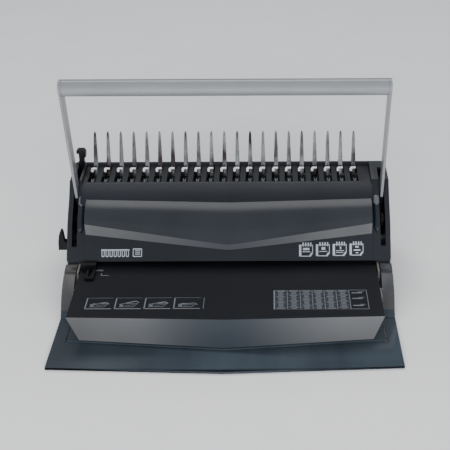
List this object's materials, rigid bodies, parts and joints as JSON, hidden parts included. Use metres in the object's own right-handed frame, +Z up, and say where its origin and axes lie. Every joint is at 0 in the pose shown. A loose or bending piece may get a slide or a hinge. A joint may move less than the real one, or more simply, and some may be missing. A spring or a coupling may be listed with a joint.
{
  "type": "comb binding machine",
  "caption": "Manual comb binding machine with a swing-down handle, a row of upright comb tines, a paper table, a smoked lid and a chip drawer.",
  "frame": {"origin": "middle of the whole machine's box at rest, on the desk", "axes": "+X to the operator's right, +Y to the back, +Z up"},
  "size_m": [0.3558, 0.276, 0.2345],
  "materials": {
    "charcoal_plastic": "fine satin grain",
    "visor_plastic": "semi-gloss metallic charcoal",
    "table_plastic": "fine matte grain",
    "black_plastic": "moulded black",
    "smoked_plastic": "smoked clear plastic",
    "handle_silver": "satin silver paint",
    "bright_steel": "nickel plated",
    "plain_steel": "zinc plated",
    "bush_brass": "sintered bronze",
    "plug_plastic": "moulded",
    "foot_rubber": "moulded rubber"
  },
  "bodies": {
    "body": {"base_tray": "plain_steel", "rubber_feet": "foot_rubber", "foot_screws": "plain_steel", "paper_table": "table_plastic", "table_skirt": "table_plastic", "left_cheek": "charcoal_plastic", "right_cheek": "charcoal_plastic", "side_plate_left": "plain_steel", "side_plate_right": "plain_steel", "front_panel": "charcoal_plastic", "visor": "visor_plastic", "top_deck": "charcoal_plastic", "rear_cover": "charcoal_plastic", "cover_screws": "plain_steel", "plate_screws": "plain_steel", "die_plate": "plain_steel", "punch_guide_plate": "plain_steel", "plate_spacers": "plain_steel", "shaft_bushes": "bush_brass", "comb_tines": "bright_steel", "hook_guides": "plain_steel", "lid_pins": "plain_steel"},
    "handle": {"handle_shaft": "plain_steel", "drive_gears": "plain_steel", "shaft_clips": "plain_steel", "arm_spacers": "plain_steel", "opener_kickers": "plain_steel", "left_arm": "handle_silver", "right_arm": "handle_silver", "handle_tube": "handle_silver", "grip_plugs": "plug_plastic", "grip_screws": "bright_steel"},
    "punch": {"punch_bar": "plain_steel", "punch_pins": "plain_steel", "punch_racks": "plain_steel"},
    "opener": {"opener_levers": "plain_steel", "opener_rod": "plain_steel", "opener_springs": "plain_steel"},
    "hooks": {"hook_plate": "bright_steel"},
    "comb_stop_post": {"comb_stop": "black_plastic"},
    "lever": {"margin_lever": "black_plastic"},
    "depth_stop": {"depth_stop_bar": "plain_steel"},
    "side_guide": {"edge_guide": "black_plastic"},
    "drawer": {"chip_drawer": "black_plastic"},
    "lid_body": {"lid": "smoked_plastic"}
  },
  "joints": [
    {"name": "handle_swing", "type": "hinge", "parent": "body", "child": "handle", "pos_m": [0.0052, 0.07, 0.058], "axis": [-1, 0, 0], "range_deg": [-72, 25]},
    {"name": "punch_stroke", "type": "slide", "parent": "body", "child": "punch", "axis": [0, 0, 1], "range_m": [-0.0122, 0.00437]},
    {"name": "opener_swing", "type": "hinge", "parent": "body", "child": "opener", "pos_m": [0.0052, 0.084, 0.068], "axis": [1, 0, 0], "range_deg": [0, 40.6]},
    {"name": "hook_slide", "type": "slide", "parent": "body", "child": "hooks", "axis": [0, -1, 0], "range_m": [0, 0.018]},
    {"name": "comb_stop_slide", "type": "slide", "parent": "body", "child": "comb_stop_post", "axis": [0, 1, 0], "range_m": [-0.01, 0]},
    {"name": "margin_turn", "type": "hinge", "parent": "body", "child": "lever", "pos_m": [0.0052, 0.028, 0.0495], "axis": [1, 0, 0], "range_deg": [-20.2, 20.2]},
    {"name": "depth_stop_slide", "type": "slide", "parent": "body", "child": "depth_stop", "axis": [0, -1, 0], "range_m": [-0.0021, 0.0021]},
    {"name": "side_guide_slide", "type": "slide", "parent": "body", "child": "side_guide", "axis": [1, 0, 0], "range_m": [0, 0.012]},
    {"name": "drawer_slide", "type": "slide", "parent": "body", "child": "drawer", "axis": [0, 1, 0], "range_m": [0, 0.09]},
    {"name": "lid_hinge", "type": "hinge", "parent": "body", "child": "lid_body", "pos_m": [0.0052, -0.004, 0.031], "axis": [-1, 0, 0], "range_deg": [0, 105]}
  ],
  "couplings": [
    {"joint": "punch_stroke", "follows": "handle_swing", "m_per_rad": 0.00955},
    {"joint": "opener_swing", "follows": "hook_slide", "rad_per_m": 39.173},
    {"joint": "margin_turn", "follows": "depth_stop_slide", "rad_per_m": 166.22}
  ]
}
